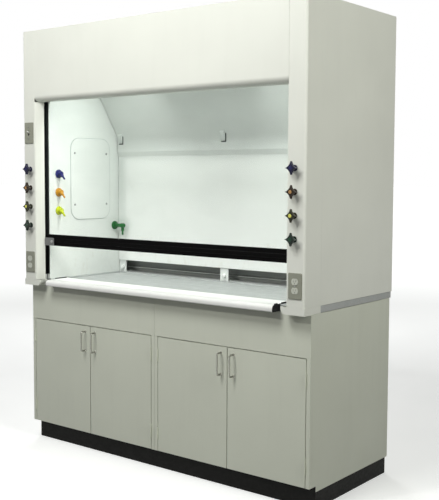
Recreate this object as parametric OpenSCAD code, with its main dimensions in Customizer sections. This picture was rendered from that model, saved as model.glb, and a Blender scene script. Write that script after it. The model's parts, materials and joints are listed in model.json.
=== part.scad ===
// Bench-top fume hood on two steel base cabinets.
// Drawn with x = 0 on the centre plane, y = 0 on the door faces and z = 0 on the floor; place() then
// moves the drawing so that the origin is the middle of the bounding box, at floor level.

/* [Overall] */
// Width over the side panels
hood_w = 1828.8; // [1700:0.1:2000]
// How far the hood's front face stands out from the door faces
front_overhang = 54.5; // [40:0.5:60]
// Distance from the door faces to the outer rear panel
hood_back = 742.4; // [735:0.1:780]
// Height of the roof above the floor
roof_z = 2251; // [2245:1:2300]
// Thickness of the painted steel sheet
sheet = 2; // [1.5:0.1:2.5]

/* [Base cabinets] */
// Height of the cabinets
cabinet_h = 876.3; // [860:0.1:900]
// Depth of the cabinets behind the door faces
cabinet_d = 722; // [700:1:730]
// Height of the door bottoms above the floor
door_z0 = 105; // [100:1:120]
// Height of the door tops above the floor
door_z1 = 679.3; // [640:0.1:690]
// Thickness of a door
door_t = 19; // [18:0.5:20]
// Width of the face of a cabinet's end stile
stile_w = 20.8; // [18:0.1:25]
// Gap between an apron panel and the doors
apron_gap = 3.7; // [3:0.1:5]
// Height of the side panels' bottom edges, which stand on the black base
side_z0 = 78; // [70:1:90]
// Depth of the toe space
toe_d = 50; // [45:1:70]
// Hole spacing of the door pulls
pull_pitch = 101.6; // [76:0.1:128]

/* [Worktop and airfoil] */
// Thickness of the worktop
worktop_t = 31.75; // [25:0.25:32]
// Depth of the dished working area
dish_d = 6; // [4:0.5:8]
// Half the length of the airfoil
airfoil_half = 745; // [700:1:750]
// Distance from the door faces to the airfoil's rear edge
airfoil_back = 98; // [80:1:110]

/* [Front opening] */
// Half the clear width between the side liners
throat_half = 796; // [790:1:800]
// Distance from the centre plane to the inner edge of a post's flat face
post_in = 827; // [820:1:830]
// Height of the header's bottom edge
header_z = 1871; // [1850:1:1900]
// Radius of the header's rolled bottom edge
header_r = 33; // [25:1:40]

/* [Sash] */
// Height of the sash rail's bottom edge as drawn
rail_z0 = 1095; // [1000:1:1200]
// Height of the sash rail
rail_h = 60; // [50:1:70]
// Height of the glass top above the rail's bottom edge
glass_rise = 995; // [990:1:1000]
// Thickness of the sash glass
glass_t = 6; // [5:0.5:6.5]
// Radius of the cable's centre line on a pulley
pulley_r = 25; // [22:1:25]
// Height of the counterweight bar
weight_h = 105.5; // [80:0.5:130]

/* [Services] */
// Distance from the centre plane to a row of valve knobs
knob_x = 858; // [852:1:866]
// Height of the lowest knob
knob_z0 = 1205.2; // [1150:0.1:1250]
// Distance between knobs
knob_pitch = 101.6; // [90:0.1:110]
// Length of a knob's arm from its axis
knob_arm = 30; // [25:0.5:32]
// Distance from the post's face to the middle of a knob
knob_standoff = 29; // [26:0.5:32]
// Distance from the centre plane to the wiring devices
device_x = 866; // [860:1:868]

/* [Exhaust] */
// Outer radius of the duct collar
collar_r = 152.4; // [100:0.1:152.4]
// Height of the collar above the roof
collar_h = 38; // [30:1:40]

/* [Hidden] */

// ---- sizes worked out from the ones above
half_w = hood_w / 2;
cabinet_half = half_w / 2;
apron_z0 = door_z1 + apron_gap;
worktop_z = cabinet_h + worktop_t;
face_y = -front_overhang;
seam = 0.3;               // half the seam between two panels that meet
fit = 0.2;                // gap between parts of one assembly that are screwed together
board_t = 3;              // thickness of the base's boards
toe_back = toe_d + board_t + fit;
liner_t = 6;              // thickness of the composite liner
hinge_x = cabinet_half - stile_w - 1.6;
hinge_y = -4.2;
hinge_h = 64;
hinge_zs = [door_z0 + 60, door_z1 - 60 - hinge_h];
pull_zs = [599.2 - pull_pitch / 2, 599.2 + pull_pitch / 2];
pull_inset = 36.5;        // from the gap between two doors to a pull
pull_r = 4;
pull_out = 31;

glass_y0 = 3.5;
glass_y = glass_y0 + glass_t / 2;
track_y = [-6.8, 19.8];
track_x1 = throat_half + 30;
track_top = 2165;
cable_x = 818;
cable_r = 1.6;
shaft_z = 2205;
front_shaft_y = glass_y + pulley_r;
rear_shaft_y = 668;
shaft_r = 8;
shoe_z = [rail_z0 + 5, rail_z0 + 35];
weight_y = rear_shaft_y + pulley_r;
weight_z1 = 1955;

lintel_y = 20.5;
ceiling_z = 2140;
rear_liner_y = 640;
lower_baffle_y = 560;
lower_baffle_z = [977, 1655];
upper_baffle_y = 551;
upper_baffle_z0 = 1616;
kink_z = 1705;
slope_top = [306, 2082];  // y and z of the sloped baffle's upper edge
duct_y = 480;
duct_r = collar_r - 3.4;

access_y = 333.5;
access_z = 1457.5;
access_size = [303, 457];
outlet_y = 91;
water_y = 527;
water_z = 1184;
device_z = 1003;
switch_z = 1705;
knob_zs = [for (i = [3:-1:0]) knob_z0 + i * knob_pitch];   // from the top knob down
outlet_drop = 25;         // a hose outlet is this much lower than its valve
nozzle_r = 4.8;
nozzle_len = 42;
spout_r = 5.5;
knob_front = front_overhang + knob_standoff + 9;
y_shift = (knob_front - hood_back) / 2;

enamel = "#e6e9e0";
slot_back = 22;           // rear edge of the roof slot that the sash glass rises through
slot_x1 = 830;

cabinet_grey = "#a9ad9f";
black = "#101110";
liner_white = "#eef3ee";
steel = "#8f9290";

// ---- helpers
function arc(c, r, a0, a1, n = 6) = [for (i = [0:n])
    let (a = a0 + (a1 - a0) * i / n) c + r * [cos(a), sin(a)]];
function unit(v) = v / norm(v);
function normal(p, i) = let (d = unit(p[i + 1] - p[i])) [-d[1], d[0]];
function mitred(p, i, t) =
    i == 0 ? p[0] + t * normal(p, 0)
    : i == len(p) - 1 ? p[i] + t * normal(p, i - 1)
    : let (a = normal(p, i - 1), b = normal(p, i)) p[i] + (a + b) * t / (1 + a * b);
// The outline of a bent sheet: the path, and the path again at the sheet's thickness to its left.
function strip(p, t = sheet) = concat(p, [for (i = [len(p) - 1:-1:0]) mitred(p, i, t)]);
// A rectangle with round corners, centred on c.
function rounded(c, w, h, r) = concat(
    arc(c + [w / 2 - r, h / 2 - r], r, 0, 90), arc(c + [r - w / 2, h / 2 - r], r, 90, 180),
    arc(c + [r - w / 2, r - h / 2], r, 180, 270), arc(c + [w / 2 - r, r - h / 2], r, 270, 360));

module place() translate([0, y_shift, 0]) children();
module slab(x, y, z) translate([x[0], y[0], z[0]]) cube([x[1] - x[0], y[1] - y[0], z[1] - z[0]]);
// Extrusions of an outline in y and z along x, in x and z along y, and in x and y along z.
module along_x(x) translate([x[0], 0, 0]) rotate([90, 0, 90]) linear_extrude(x[1] - x[0]) children();
module along_y(y) translate([0, y[1], 0]) rotate([90, 0, 0]) linear_extrude(y[1] - y[0]) children();
module along_z(z) translate([0, 0, z[0]]) linear_extrude(z[1] - z[0]) children();
module rod(h, r) cylinder(r = r, h = h, $fn = 48);
module rod_x(x, y, z, r) translate([x[0], y, z]) rotate([0, 90, 0]) rod(x[1] - x[0], r);
module rod_y(x, y, z, r) translate([x, y[1], z]) rotate([90, 0, 0]) rod(y[1] - y[0], r);
module rod_z(x, y, z, r) translate([x, y, z[0]]) rod(z[1] - z[0], r);
module both_sides() {
    children();
    mirror([1, 0, 0]) children();
}

// ---- base
module toe_base() color(black) {
    slab([-half_w, half_w], [toe_d, toe_back - fit], [0, door_z0 - 1.5]);
    both_sides() for (x = [seam + 1, half_w - board_t])
        slab([x, x + board_t], [toe_back, 700], [0, side_z0 - fit]);
}

// One side of a cabinet, drawn on its +x side: the side panel, its stile and its shelf ledges.
module cabinet_side() {
    along_x([cabinet_half - seam - sheet, cabinet_half - seam]) polygon([[sheet + fit, door_z0 - 1],
        [toe_back, door_z0 - 1], [toe_back, side_z0], [cabinet_d, side_z0], [cabinet_d, cabinet_h - fit],
        [sheet + fit, cabinet_h - fit]]);
    along_z([door_z0 - 1, apron_z0 - fit]) polygon(strip([[cabinet_half - stile_w, door_t],
        [cabinet_half - stile_w, 0], [cabinet_half - seam, 0]]));
    for (y = [150, 600])
        slab([cabinet_half - 20, cabinet_half - seam - sheet - fit], [y, y + 20], [378, 380]);
}

module cabinet_body(cx) color(cabinet_grey) translate([cx, 0, 0]) {
    inner = cabinet_half - seam - sheet - fit;
    both_sides() cabinet_side();
    slab([-inner, inner], [door_t + 1.5, cabinet_d - sheet - fit], [door_z0 - 1, door_z0 + 1]);
    slab([-inner, inner], [cabinet_d - sheet, cabinet_d], [side_z0, cabinet_h - fit]);
    slab([-inner, inner], [door_t + 2, 60], [apron_z0 - 2, apron_z0]);
    for (y = [[door_t + 2, 80], [cabinet_d - 80, cabinet_d - sheet - fit]])
        slab([-inner, inner], y, [cabinet_h - fit - sheet, cabinet_h - fit]);
}

// A shelf is a tray turned upside down.
module shelf(cx) translate([cx, 0, 380 + fit]) {
    half = cabinet_half - 24;
    along_x([-half, half]) polygon(strip([[640, 0], [640, 20], [130, 20], [130, 0]]));
}

module cabinet_shelves() color(cabinet_grey) for (side = [-1, 1]) shelf(side * cabinet_half);

// A tray with its face at y = 0 and its rim pointing back, and a flat panel that closes it.
module tray(x, z, d) {
    difference() {
        slab(x, [0, d], z);
        slab([x[0] + sheet, x[1] - sheet], [sheet, d + 1], [z[0] + sheet, z[1] - sheet]);
    }
}

// An apron is a flat face with a rim behind it that fits between the cabinet's sides.
module apron_panels() color(cabinet_grey) both_sides() {
    z = [apron_z0, cabinet_h - fit];
    slab([seam, half_w], [0, sheet], z);
    difference() {
        slab([5, half_w - 5], [0, door_t], z);
        slab([5 + sheet, half_w - 5 - sheet], [-1, door_t + 1], [z[0] + sheet, z[1] - sheet]);
    }
}

// One hinge leaf in the gap beside a door. ends is true for the leaf with the two end knuckles and the pin.
module hinge_leaf(ends, z) {
    third = hinge_h / 3;
    play = 0.3;
    leaf_x = ends ? [0.4, 1.6] : [-1.6, -0.4];
    knuckles = ends ? [[0, third - play], [2 * third + play, hinge_h]] : [[third, 2 * third]];
    translate([hinge_x, hinge_y, z]) difference() {
        union() {
            slab(leaf_x, [4, 17.5], [0, hinge_h]);
            for (k = knuckles) {
                slab(leaf_x, [0, 4], k);
                rod_z(0, 0, k, 3.6);
            }
        }
        if (!ends) rod_z(0, 0, [third - 1, 2 * third + 1], 1.66);
    }
    if (ends) translate([hinge_x, hinge_y, z]) rod_z(0, 0, [0, hinge_h], 1.6);
}

module hinge_frame_leaves() color(cabinet_grey)
    both_sides() for (cx = [-cabinet_half, cabinet_half]) translate([cx, 0, 0])
        for (z = hinge_zs) hinge_leaf(true, z);

// A door hinged on its +x side, relative to its cabinet's centre.
module door_leaf() {
    x = [2, hinge_x - 1.6];
    tray(x, [door_z0, door_z1], door_t - 1);
    slab([x[0] + 2.5, x[1] - 2.5], [door_t - 2, door_t], [door_z0 + 2.5, door_z1 - 2.5]);
    for (z = hinge_zs) hinge_leaf(false, z);
}

// hand is 1 for a door hinged on its +x side and -1 for one hinged on its -x side.
module door(cx, hand) color(cabinet_grey) translate([cx, 0, 0])
    if (hand > 0) door_leaf();
    else mirror([1, 0, 0]) door_leaf();

// A wire pull: two legs, two bends and a grip.
module pull(cx, hand) color("#c9ccc2") translate([cx + hand * pull_inset, 0, 0]) {
    bend = 10;
    for (z = pull_zs) rod_y(0, [bend - pull_out, -0.1], z, pull_r);
    rod_z(0, -pull_out, [pull_zs[0] + bend, pull_zs[1] - bend], pull_r);
    for (end = [0, 1]) translate([0, bend - pull_out, end == 0 ? pull_zs[0] + bend : pull_zs[1] - bend])
        rotate([0, 90, 0]) rotate([0, 0, end == 0 ? 270 : 180])
            rotate_extrude(angle = 90, $fn = 48) translate([bend, 0]) circle(r = pull_r, $fn = 32);
}

// ---- working surface
module worktop() color("#8b8f88") difference() {
    slab([-half_w + 3, half_w - 3], [6, hood_back - 3], [cabinet_h, worktop_z]);
    slab([-772, 772], [118, 548], [worktop_z - dish_d, worktop_z + 1]);
}

airfoil_top = worktop_z + 0.2 + 2.4;
nose_r = 20;
// The airfoil's outer line, from the rear edge over the nose to the lip.
airfoil_path = concat([[airfoil_back, airfoil_top]],
    arc([face_y + nose_r, airfoil_top - nose_r], nose_r, 90, 180, 8), arc([face_y + 6, 884], 6, 180, 270, 4),
    [[face_y + 16, 878]]);

module airfoil() color("white") along_x([-airfoil_half, airfoil_half]) polygon(strip(airfoil_path, 2.4));

module airfoil_end_caps() color(black) both_sides() along_x([airfoil_half + fit, airfoil_half + 3])
    polygon(concat(airfoil_path, [[5, 878], [5, worktop_z + 0.2], [airfoil_back, worktop_z + 0.2]]));

// ---- superstructure casing
bevel_y = -9;
post_r = 10;
post_back = 77;           // how far back the post's side flange reaches
corner_r = 12.7;
corner = [half_w - corner_r, face_y + corner_r];
// A post in plan, on the +x side: side, rounded corner, face, rounded edge, bevel and track flange.
post_path = concat([[half_w, post_back]], arc(corner, corner_r, 0, -90),
    arc([post_in, face_y + post_r], post_r, -90, -156.3),
    [[throat_half + 1, bevel_y], [track_x1 - 3, bevel_y]]);

module post(left) color(enamel) difference() {
    along_z([worktop_z + 0.6, roof_z]) polygon(strip([for (i = [len(post_path) - 1:-1:0]) post_path[i]]));
    slab([throat_half - 2, post_in - 3.5], [face_y - 1, 30], [header_z - 0.5, roof_z + 1]);
    for (z = knob_zs) rod_y(knob_x, [face_y - 1, face_y + 4], z, 7);
    slab([device_x - 24, device_x + 24], [face_y - 1, face_y + 4], [device_z - 42, device_z + 42]);
    if (left) slab([device_x - 24, device_x + 24], [face_y - 1, face_y + 4], [switch_z - 42, switch_z + 42]);
}

module left_post() mirror([1, 0, 0]) post(true);
module right_post() post(false);

// The foot closes the post in front of the worktop's edge and laps back along its side.
module foot() {
    z = [cabinet_h - 1, worktop_z + 0.4];
    x = [790, half_w];
    r = 24;
    difference() {
        along_y([face_y, -0.6]) polygon(concat([[x[1], z[1]], [x[0], z[1]]],
            arc([x[0] + r, z[0] + r], r, 180, 270), [[x[1], z[0]]]));
        along_y([face_y + sheet, 0]) polygon(concat([[x[1] - sheet, z[1] + 1], [x[0] + sheet, z[1] + 1]],
            arc([x[0] + r, z[0] + r], r - sheet, 180, 270), [[x[1] - sheet, z[0] + sheet]]));
    }
    slab([x[1] - sheet, x[1]], [-1, post_back], [cabinet_h + fit, z[1]]);
}

module post_feet() color(enamel) both_sides() foot();

module front_header() color(enamel) {
    x1 = post_in - 4;
    path = concat([[-14, roof_z], [face_y, roof_z]],
        arc([face_y + header_r, header_z + header_r], header_r, 180, 270, 8),
        [[-12, header_z], [-12, header_z + 24]]);
    along_x([-x1, x1]) polygon(strip(path));
}

module left_side_panel() mirror([1, 0, 0]) right_side_panel();
module right_side_panel() color(enamel)
    slab([half_w - sheet, half_w], [post_back + seam, hood_back], [worktop_z + 0.6, roof_z]);

module rear_panel() color(enamel) slab([-half_w + sheet + fit, half_w - sheet - fit],
    [hood_back - sheet, hood_back], [worktop_z + 0.6, roof_z]);

// The roof stops short of the header, which leaves the slot that the sash glass rises through. A small
// plate beside each end of the slot closes the top of a post.
module roof_panel() color(enamel) {
    z = [roof_z - sheet, roof_z];
    x1 = half_w - sheet - fit;
    difference() {
        slab([-x1, x1], [slot_back, hood_back - sheet - fit], z);
        rod_z(0, duct_y, [roof_z - 5, roof_z + 5], collar_r + 0.3);
    }
    both_sides() along_z(z) polygon(concat([[x1, slot_back - fit], [slot_x1, slot_back - fit],
        [slot_x1, face_y + sheet + fit]], arc(corner, corner_r - sheet - fit, -90, 0)));
}

module exhaust_collar() color(steel) difference() {
    union() {
        rod_z(0, duct_y, [ceiling_z + liner_t + fit, ceiling_z + liner_t + fit + 2], collar_r + 20);
        rod_z(0, duct_y, [ceiling_z + liner_t + fit, roof_z + 1], collar_r - 1);
        rod_z(0, duct_y, [roof_z + 1, roof_z + collar_h], collar_r);
    }
    rod_z(0, duct_y, [ceiling_z, roof_z + collar_h + 1], duct_r);
}

// ---- liner
module front_lintel() color(liner_white) along_x([-throat_half + 0.5, throat_half - 0.5])
    polygon(strip([[lintel_y + 14, 1879], [lintel_y, 1877], [lintel_y, ceiling_z - fit]]));

light_hole = [[-600, 600], [65, 175]];
module ceiling_liner() color(liner_white) difference() {
    slab([-throat_half - liner_t, throat_half + liner_t], [lintel_y, rear_liner_y + liner_t],
        [ceiling_z, ceiling_z + liner_t]);
    slab(light_hole[0], light_hole[1], [ceiling_z - 1, ceiling_z + liner_t + 1]);
    rod_z(0, duct_y, [ceiling_z - 1, ceiling_z + liner_t + 1], duct_r);
}

module side_liners() color(liner_white) both_sides() difference() {
    slab([throat_half, throat_half + liner_t], [lintel_y + 2.5, rear_liner_y - fit],
        [worktop_z + fit, ceiling_z - fit]);
    along_x([throat_half - 1, throat_half + liner_t + 1])
        polygon(rounded([access_y, access_z], access_size[0] - 16, access_size[1] - 16, 52));
}

module rear_liner() color(liner_white) slab([-throat_half - liner_t, throat_half + liner_t],
    [rear_liner_y, rear_liner_y + liner_t], [worktop_z + fit, ceiling_z - fit]);

module upper_baffle() color(liner_white) along_x([-throat_half + 3, throat_half - 3])
    polygon(strip([slope_top, [upper_baffle_y, kink_z], [upper_baffle_y, upper_baffle_z0]], 4));

module lower_baffle() color(liner_white) slab([-throat_half + 3, throat_half - 3],
    [lower_baffle_y, lower_baffle_y + 4], lower_baffle_z);

// Legs under the lower baffle, hooks that hold its upper edge to the upper baffle, and rear spacers.
module baffle_bracket(x) translate([x, 0, 0]) {
    slab([-28, 28], [lower_baffle_y + 5, lower_baffle_y + 8], [worktop_z + fit, lower_baffle_z[0] + 40]);
    slab([-28, 28], [lower_baffle_y + 8 + fit, rear_liner_y - fit], [worktop_z + fit, worktop_z + 3]);
    along_x([-14, 14]) polygon([[upper_baffle_y - 9, 1674], [upper_baffle_y - fit, 1664],
        [upper_baffle_y - fit, kink_z], [upper_baffle_y - 9.3, kink_z + 14],
        [upper_baffle_y - 15, kink_z + 8]]);
    slab([-14, 14], [lower_baffle_y + 5, rear_liner_y - fit], [1600, 1603]);
}

module baffle_brackets() color("#d5dbd4") for (x = [-765, 0, 765]) baffle_bracket(x);

module access_panels() color(liner_white) both_sides() along_x([throat_half - 3.2, throat_half - fit])
    polygon(rounded([access_y, access_z], access_size[0], access_size[1], 60));

// Domed heads of the screws that hold the access panels.
module panel_screws() color(steel) both_sides() for (dy = [-124, 124]) for (dz = [-145, 145])
    translate([throat_half - 3.3, access_y + dy, access_z + dz]) rotate([0, -90, 0]) difference() {
        union() {
            cylinder(r = 6, h = 1, $fn = 32);
            translate([0, 0, 1]) cylinder(r1 = 6, r2 = 3.5, h = 1.6, $fn = 32);
        }
        translate([0, 0, 1.6]) cylinder(r = 2, h = 2, $fn = 6);
    }

// ---- light
module light_housing() color(enamel) difference() {
    slab([-622, 622], [56, 186], [ceiling_z + liner_t + fit, 2214]);
    slab([-620, 620], [58, 184], [ceiling_z, 2212]);
}

module light_lens() color([0.8, 0.9, 0.9, 0.5])
    slab([-612, 612], [60, 180], [ceiling_z + liner_t + fit, ceiling_z + 2 * liner_t]);

module light_tubes() color("white") for (y = [98, 142]) {
    rod_x([-600, 600], y, 2184, 13);
    for (side = [-1, 1]) slab(side > 0 ? [600.5, 612] : [-612, -600.5], [y - 15, y + 15], [2166, 2211.8]);
}

// ---- sash
module sash_glass() color([0.75, 0.88, 0.82, 0.35]) slab([-throat_half - 10, throat_half + 10],
    [glass_y0, glass_y0 + glass_t], [rail_z0 + 15, rail_z0 + glass_rise]);

// A hollow black rail with a groove for the glass and a finger lip along its front.
module sash_rail() color(black) along_x([-throat_half + 2.5, throat_half - 2.5]) translate([0, rail_z0])
    difference() {
        union() {
            translate([-6, 0]) square([20, rail_h]);
            polygon([[-12, 22], [-6, 18], [-6, 42], [-12, 38]]);
        }
        translate([glass_y0 - 0.1, 14.9]) square([glass_t + 0.2, rail_h]);
        translate([-4.4, 2]) square([16.8, 11]);
    }

// Cable shoes on the glass edges, and the lock on the left end of the rail.
module sash_hardware() color("#6f7070") {
    both_sides() slab([throat_half + 10.2, cable_x + 4], [glass_y - 4, glass_y + 4], shoe_z);
    translate([0, 0, rail_z0]) along_y([-15.2, -12.2]) polygon(rounded([-757, 22], 72, 42, 8));
    rod_y(-735, [-19.2, -15.4], rail_z0 + 24, 8);
}

// The track's channel in plan, with the slot that the glass and the cable run in.
module track_outline() difference() {
    translate([throat_half, track_y[0]]) square([track_x1 - throat_half, track_y[1] - track_y[0]]);
    translate([throat_half - 1, glass_y - 5]) square([track_x1 - throat_half - 1, 10]);
}

module sash_tracks() color(black) both_sides() {
    along_z([936, track_top]) track_outline();
    along_z([worktop_z + fit, 935.8]) intersection() {
        track_outline();
        translate([throat_half + 1, track_y[0]]) square([40, 40]);
    }
}

// A shaft with a grooved pulley near each end.
module pulley_shaft(y) color(steel) translate([0, y, shaft_z]) rotate([0, 90, 0]) union() {
    translate([0, 0, -842]) cylinder(r = shaft_r, h = 1684, $fn = 48);
    for (side = [-1, 1]) translate([0, 0, side * cable_x]) rotate_extrude($fn = 96)
        polygon([[shaft_r - 1, -6], [pulley_r + 3, -6], [pulley_r + 3, -4.5], [pulley_r - 1.9, -2],
            [pulley_r - 1.9, 2], [pulley_r + 3, 4.5], [pulley_r + 3, 6], [shaft_r - 1, 6]]);
}

module front_pulley_shaft() pulley_shaft(front_shaft_y);
module rear_pulley_shaft() pulley_shaft(rear_shaft_y);

module shaft_brackets() color(steel) both_sides() for (y = [front_shaft_y, rear_shaft_y]) difference() {
    slab([830, 836], [y - 20, y + 20], [shaft_z - 20, roof_z - sheet - fit]);
    rod_x([829, 837], y, shaft_z, shaft_r + 0.06);
}

module counterweight() color("#3f4243") slab([-830, 830], [weight_y - 10, weight_y + 10],
    [weight_z1 - weight_h, weight_z1]);

// Each cable runs up from the sash, over both pulleys and down to the counterweight.
module sash_cable() {
    r = pulley_r;
    translate([cable_x, 0, 0]) {
        rod_z(0, glass_y, [shoe_z[1] + fit, shaft_z], cable_r);
        rod_z(0, weight_y, [weight_z1 + fit, shaft_z], cable_r);
        rod_y(0, [front_shaft_y, rear_shaft_y], shaft_z + r, cable_r);
        for (end = [[front_shaft_y, 180], [rear_shaft_y, 90]])
            translate([0, end[0], shaft_z]) rotate([0, 90, 0]) rotate([0, 0, end[1]])
                rotate_extrude(angle = 90, $fn = 96) translate([r, 0]) circle(r = cable_r, $fn = 24);
    }
}

module sash_cables() color("#b8bab8") both_sides() sash_cable();

// ---- services
// A cover plate for one wiring device, with the outline of the opening in it.
module cover_plate(z) difference() {
    union() {
        along_y([face_y - 2.5, face_y - 0.1]) polygon(rounded([0, z], 70, 114.3, 5));
        along_y([face_y - 4.5, face_y - 2.5]) polygon(rounded([0, z], 65, 109.3, 5));
    }
    children();
}

module receptacle(z) difference() {
    intersection() {
        rod_y(0, [face_y - 6, face_y + 30], z, 17);
        slab([-20, 20], [face_y - 7, face_y + 31], [z - 14, z + 14]);
    }
    for (x = [-6.5, 6.5]) slab([x - 1, x + 1], [face_y - 7, face_y + 6], [z - 1, z + 7]);
    rod_y(0, [face_y - 7, face_y + 6], z - 7, 2.4);
}

module wiring_devices() color("#8d9183") {
    both_sides() translate([device_x, 0, 0]) {
        cover_plate(device_z)
            for (dz = [-19.5, 19.5]) intersection() {
                rod_y(0, [face_y - 7, face_y + 1], device_z + dz, 17.2);
                slab([-20, 20], [face_y - 7, face_y + 1], [device_z + dz - 14.2, device_z + dz + 14.2]);
            }
        for (dz = [-19.5, 19.5]) receptacle(device_z + dz);
    }
    translate([-device_x, 0, 0]) cover_plate(switch_z) slab([-6, 6], [face_y - 7, face_y + 1],
        [switch_z - 13, switch_z + 13]);
}

toggle_y = face_y + 4;
module switch_toggle() color("#e9ebe4") translate([-device_x, toggle_y, switch_z]) rotate([-25, 0, 0]) {
    rod_x([-4.5, 4.5], 0, 0, 5);
    along_x([-4, 4]) polygon([[0, -4], [0, 4], [-20, 3], [-21, 0], [-20, -3]]);
}

// A valve behind the post: a bonnet on the face, a body inside and a pipe to the outlet on the liner.
module service_valve(z, out_y, out_z) {
    difference() {
        union() {
            rod_y(knob_x, [face_y - 3, face_y - 0.1], z, 13);
            rod_y(knob_x, [face_y - 0.1, face_y + 50], z, 6.9);
            rod_y(knob_x, [face_y + 3, face_y + 45], z, 15);
        }
        rod_y(knob_x, [face_y - 4, face_y + 20], z, 4.55);
    }
    rod_y(knob_x, [face_y + 49, out_y], z, 5);
    translate([knob_x, out_y, z]) sphere(r = 5, $fn = 24);
    rod_z(knob_x, out_y, [out_z, z], 5);
    translate([knob_x, out_y, out_z]) sphere(r = 5, $fn = 24);
    rod_x([throat_half + liner_t + fit, knob_x], out_y, out_z, 5);
}

module service_valves() color("#b08d57") both_sides() for (i = [0:3])
    service_valve(knob_zs[i], i < 3 ? outlet_y : water_y, i < 3 ? knob_zs[i] - outlet_drop : water_z);

// A hose outlet on the liner: flange, body and a plain nozzle that points down and inwards.
module hose_outlet(z) translate([throat_half - fit, outlet_y, z]) {
    rotate([0, -90, 0]) {
        cylinder(r = 24, h = 6, $fn = 64);
        translate([0, 0, 5]) cylinder(r = 14, h = 22, $fn = 48);
    }
    translate([-20, 0, 0]) rotate([0, -135, 0]) {
        cylinder(r = 8, h = 20, $fn = 32);
        cylinder(r = nozzle_r, h = nozzle_len, $fn = 32);
    }
}

module hose_outlets() color("#2238a8") both_sides() for (i = [0:2]) hose_outlet(knob_zs[i] - outlet_drop);

// A water outlet on the liner: flange, arm and a spout that points down.
module water_outlet() translate([throat_half - fit, water_y, water_z]) {
    rotate([0, -90, 0]) {
        cylinder(r = 25, h = 8, $fn = 64);
        translate([0, 0, 7]) cylinder(r = 11, h = 72, $fn = 48);
    }
    rod_z(-66, 0, [-32, 0], 9);
    rod_z(-66, 0, [-56, -31], spout_r);
}

module water_outlets() color("#0f5a24") both_sides() water_outlet();

knob_colours = ["#171b45", "#4a3416", "#5b5c14", "#143a1e"];
// A knob with four tapered arms, a hub, a coloured cap and a stem.
module knob(side, i) color(knob_colours[i]) translate([side * knob_x, face_y - knob_standoff, knob_zs[i]]) {
    along_y([-7.5, 10.5]) for (a = [0:90:270]) rotate(a) polygon([[-9, 0], [9, 0], [4, knob_arm - 4],
        [2.4, knob_arm - 1], [0, knob_arm], [-2.4, knob_arm - 1], [-4, knob_arm - 4]]);
    rod_y(0, [-9, 16], 0, 9.5);
    rod_y(0, [16, knob_standoff + 17], 0, 4.5);
}

place() toe_base();
place() cabinet_body(-cabinet_half);  // left_cabinet_body
place() cabinet_body(cabinet_half);  // right_cabinet_body
place() cabinet_shelves();
place() apron_panels();
place() door(-cabinet_half, -1);  // left_cabinet_left_door
place() door(-cabinet_half, 1);  // left_cabinet_right_door
place() door(cabinet_half, -1);  // right_cabinet_left_door
place() door(cabinet_half, 1);  // right_cabinet_right_door
place() pull(-cabinet_half, -1);  // left_cabinet_left_pull
place() pull(-cabinet_half, 1);  // left_cabinet_right_pull
place() pull(cabinet_half, -1);  // right_cabinet_left_pull
place() pull(cabinet_half, 1);  // right_cabinet_right_pull
place() hinge_frame_leaves();
place() worktop();
place() airfoil();
place() airfoil_end_caps();
place() left_post();
place() right_post();
place() post_feet();
place() front_header();
place() front_lintel();
place() ceiling_liner();
place() side_liners();
place() rear_liner();
place() upper_baffle();
place() lower_baffle();
place() baffle_brackets();
place() access_panels();
place() panel_screws();
place() left_side_panel();
place() right_side_panel();
place() rear_panel();
place() roof_panel();
place() exhaust_collar();
place() light_housing();
place() light_tubes();
place() light_lens();
place() sash_glass();
place() sash_rail();
place() sash_hardware();
place() sash_tracks();
place() front_pulley_shaft();
place() rear_pulley_shaft();
place() shaft_brackets();
place() counterweight();
place() sash_cables();
place() wiring_devices();
place() switch_toggle();
place() service_valves();
place() hose_outlets();
place() water_outlets();
place() knob(-1, 0);  // left_knob_1
place() knob(-1, 1);  // left_knob_2
place() knob(-1, 2);  // left_knob_3
place() knob(-1, 3);  // left_knob_4
place() knob(1, 0);  // right_knob_1
place() knob(1, 1);  // right_knob_2
place() knob(1, 2);  // right_knob_3
place() knob(1, 3);  // right_knob_4
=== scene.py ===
"""The looks of a bench-top fume hood on two steel base cabinets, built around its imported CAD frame.

Lengths are in metres. x runs across the hood, -y is its front and z is up.
"""
import json
import math

import bmesh
import bpy
from mathutils import Matrix, Vector

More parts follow.
